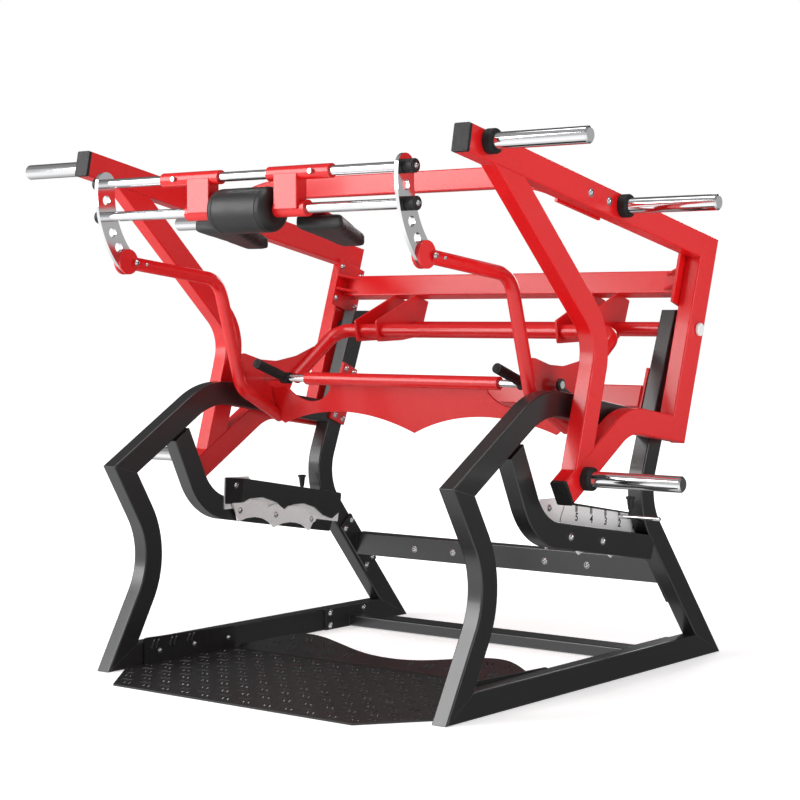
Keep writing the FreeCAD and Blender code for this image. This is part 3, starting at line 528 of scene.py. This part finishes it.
def puff(obj, cap, pressure=4.0, voxel=0.005):
    """Inflates a closed pad with cloth, then keeps every point near where it began."""
    rem = obj.modifiers.new("remesh", "REMESH")
    rem.mode = "VOXEL"
    rem.voxel_size = voxel
    dg = bpy.context.evaluated_depsgraph_get()
    solid = bpy.data.meshes.new_from_object(obj.evaluated_get(dg))
    obj.modifiers.clear()
    obj.data = solid
    start = np.array([v.co[:] for v in solid.vertices])
    cloth = obj.modifiers.new("cloth", "CLOTH")
    s = cloth.settings
    s.use_pressure = True
    s.uniform_pressure_force = pressure
    s.quality = 6
    s.tension_stiffness = 25
    s.compression_stiffness = 25
    s.shear_stiffness = 12
    s.bending_stiffness = 4.0
    s.effector_weights.gravity = 0.0
    for f in range(1, CLOTH_FRAMES + 1):
        scene.frame_set(f)
    dg = bpy.context.evaluated_depsgraph_get()
    ev = obj.evaluated_get(dg).to_mesh()
    now = np.array([v.co[:] for v in ev.vertices])
    obj.modifiers.clear()
    scene.frame_set(1)
    move = now - start
    length = np.linalg.norm(move, axis=1, keepdims=True)
    move = move * np.minimum(1.0, cap / np.maximum(length, 1e-9))
    solid.vertices.foreach_set("co", (start + move).astype(np.float32).ravel())
    solid.update()
    return obj


for node in ("right_shoulder_pad", "left_shoulder_pad"):
    verts, faces = wedge(node, PAD_INSET)
    pad = add_mesh(node + "_cover", verts, faces, LEATHER, "lever", angle=70)
    puff(pad, 0.005)
    pad.data.materials.clear()
    pad.data.materials.append(LEATHER)
    for poly in pad.data.polygons:
        poly.use_smooth = True
    smooth = pad.modifiers.new("smooth", "SMOOTH")
    smooth.factor = 0.6
    smooth.iterations = 9
    sub = pad.modifiers.new("sub", "SUBSURF")
    sub.levels = 1
    sub.render_levels = 1
    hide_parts(node)


# --------------------------------------------- figures beside the notches
NOTCH_Y = (-0.040, 0.048, 0.134, 0.220, 0.306)      # front edge to back, in the notch plate
FIGURE_FACE = 0.6702        # the notch plate's inner face, from the middle
RAIL_SLOPE = -0.1595        # fall of the notch plate towards the back
RAIL_LEAN = -0.158          # the same as an angle, in radians
RAIL_START = (-0.208, 0.4985)
FIGURE_UP = 0.068           # from the rail's line to the middle of a figure
FIGURE_BACK = 0.074         # from a notch to its figure


def figures():
    """The figures 5 to 1, one behind each notch, on both sides."""
    upright = Matrix.Rotation(math.radians(90), 4, "X")
    lean = Matrix.Rotation(RAIL_LEAN, 4, "X")
    for k, y in enumerate(NOTCH_Y):
        z = RAIL_START[1] + RAIL_SLOPE * (y - RAIL_START[0]) + FIGURE_UP
        for side, sgn in (("right", 1), ("left", -1)):
            curve = bpy.data.curves.new("figure", "FONT")
            curve.body = str(5 - k)
            curve.size = 0.036
            curve.align_x = "CENTER"
            curve.align_y = "CENTER"
            curve.extrude = 0.0003
            curve.offset = 0.0006
            obj = bpy.data.objects.new("figure_%s_%d" % (side, 5 - k), curve)
            scene.collection.objects.link(obj)
            spin = Matrix.Rotation(math.radians(90) * sgn, 4, "Z")
            place = Matrix.Translation((sgn * FIGURE_FACE, y + FIGURE_BACK, z))
            obj.matrix_world = place @ lean @ spin @ upright
            curve.materials.append(PLASTIC)
            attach(obj, "base")


figures()


# ---------------------------------------------------------- light and floor
scene.view_settings.view_transform = "Standard"
scene.view_settings.look = "None"
scene.view_settings.exposure = 0.0

SKY = [(0.0, 0.50), (0.20, 0.95), (0.42, 0.80), (0.49, 0.50),
       (0.53, 0.42), (0.64, 0.48), (0.76, 0.22), (1.0, 0.45)]     # (height, grey), bottom to top
FRONT_STRENGTH = 1.42
BACK_STRENGTH = 0.14


def studio_world():
    """What the gloss reflects: grey by height, brighter in front. The camera sees plain white."""
    world = bpy.data.worlds.new("studio")
    scene.world = world
    world.use_nodes = True
    nt = world.node_tree
    bg = nt.nodes["Background"]
    coord = nt.nodes.new("ShaderNodeTexCoord")
    sep = nt.nodes.new("ShaderNodeSeparateXYZ")
    nt.links.new(coord.outputs["Generated"], sep.inputs[0])
    up = nt.nodes.new("ShaderNodeValToRGB")
    el = up.color_ramp.elements
    while len(el) < len(SKY):
        el.new(0.5)
    for e, (pos, grey) in zip(el, SKY):
        e.position = pos
        e.color = (grey, grey, grey, 1.0)
    height = nt.nodes.new("ShaderNodeMapRange")
    height.inputs["From Min"].default_value = -1.0
    nt.links.new(sep.outputs["Z"], height.inputs["Value"])
    nt.links.new(height.outputs["Result"], up.inputs["Fac"])
    rear = nt.nodes.new("ShaderNodeMapRange")
    rear.inputs["From Min"].default_value = -0.55
    rear.inputs["From Max"].default_value = 0.75
    rear.inputs["To Min"].default_value = FRONT_STRENGTH
    rear.inputs["To Max"].default_value = BACK_STRENGTH
    nt.links.new(sep.outputs["Y"], rear.inputs["Value"])
    nt.links.new(up.outputs["Color"], bg.inputs["Color"])
    nt.links.new(rear.outputs["Result"], bg.inputs["Strength"])
    white = nt.nodes.new("ShaderNodeBackground")
    white.inputs["Color"].default_value = (1.0, 1.0, 1.0, 1.0)
    white.inputs["Strength"].default_value = 1.0
    path = nt.nodes.new("ShaderNodeLightPath")
    both = nt.nodes.new("ShaderNodeMixShader")
    nt.links.new(path.outputs["Is Camera Ray"], both.inputs["Fac"])
    nt.links.new(bg.outputs["Background"], both.inputs[1])
    nt.links.new(white.outputs["Background"], both.inputs[2])
    nt.links.new(both.outputs["Shader"], nt.nodes["World Output"].inputs["Surface"])


studio_world()


def area(name, location, target, size, power, size_y):
    """A rectangular lamp, in watts, that faces target."""
    data = bpy.data.lights.new(name, "AREA")
    data.energy = power
    data.shape = "RECTANGLE"
    data.size = size
    data.size_y = size_y
    obj = bpy.data.objects.new(name, data)
    scene.collection.objects.link(obj)
    obj.location = location
    way = Vector(target) - Vector(location)
    obj.rotation_euler = way.to_track_quat("-Z", "Y").to_euler()


area("front_left", (-3.2, -4.2, 2.7), (0, 0, 0.6), 2.4, 205, 3.8)
area("right", (6.0, 0.6, 2.4), (0, 0, 0.9), 2.0, 108, 3.0)
area("right_rear", (4.3, 4.9, 1.9), (0, 0, 0.8), 2.4, 10, 3.2)
area("top", (0.4, -0.6, 5.2), (0, 0, 0), 3.0, 85, 3.0)
area("back", (-1.0, 5.4, 2.6), (0, 0, 1.0), 1.6, 60, 2.0)


FLOOR_HALF = 30.0
FLOOR_Z = -0.0006           # just under the feet


def floor_material():
    """Pale floor that fades to the white of the background away from the machine."""
    m = Mat("studio_floor")
    grain = m.noise(3.0, 3.0)
    m.set(color=m.mix(m.remap(grain, 0.0, 1.0), (0.84, 0.84, 0.84), (0.87, 0.87, 0.87)),
          rough=0.75, spec=0.2)
    length = m.node("ShaderNodeVectorMath", operation="LENGTH")
    m.link(m.coord, length.inputs[0])
    glow = m.remap(length.outputs["Value"], 0.42, 1.0, 1.2, 3.4)
    m.bsdf.inputs["Emission Color"].default_value = (1.0, 1.0, 1.0, 1.0)
    m.link(glow, m.bsdf.inputs["Emission Strength"])
    return m.m


corners = [(sx * FLOOR_HALF, sy * FLOOR_HALF, FLOOR_Z)
           for sx, sy in ((-1, -1), (1, -1), (1, 1), (-1, 1))]
floor_mesh = bpy.data.meshes.new("floor")
floor_mesh.from_pydata(corners, [], [(0, 1, 2, 3)])
floor_mesh.materials.append(floor_material())
floor = bpy.data.objects.new("floor", floor_mesh)
scene.collection.objects.link(floor)
floor.visible_glossy = False
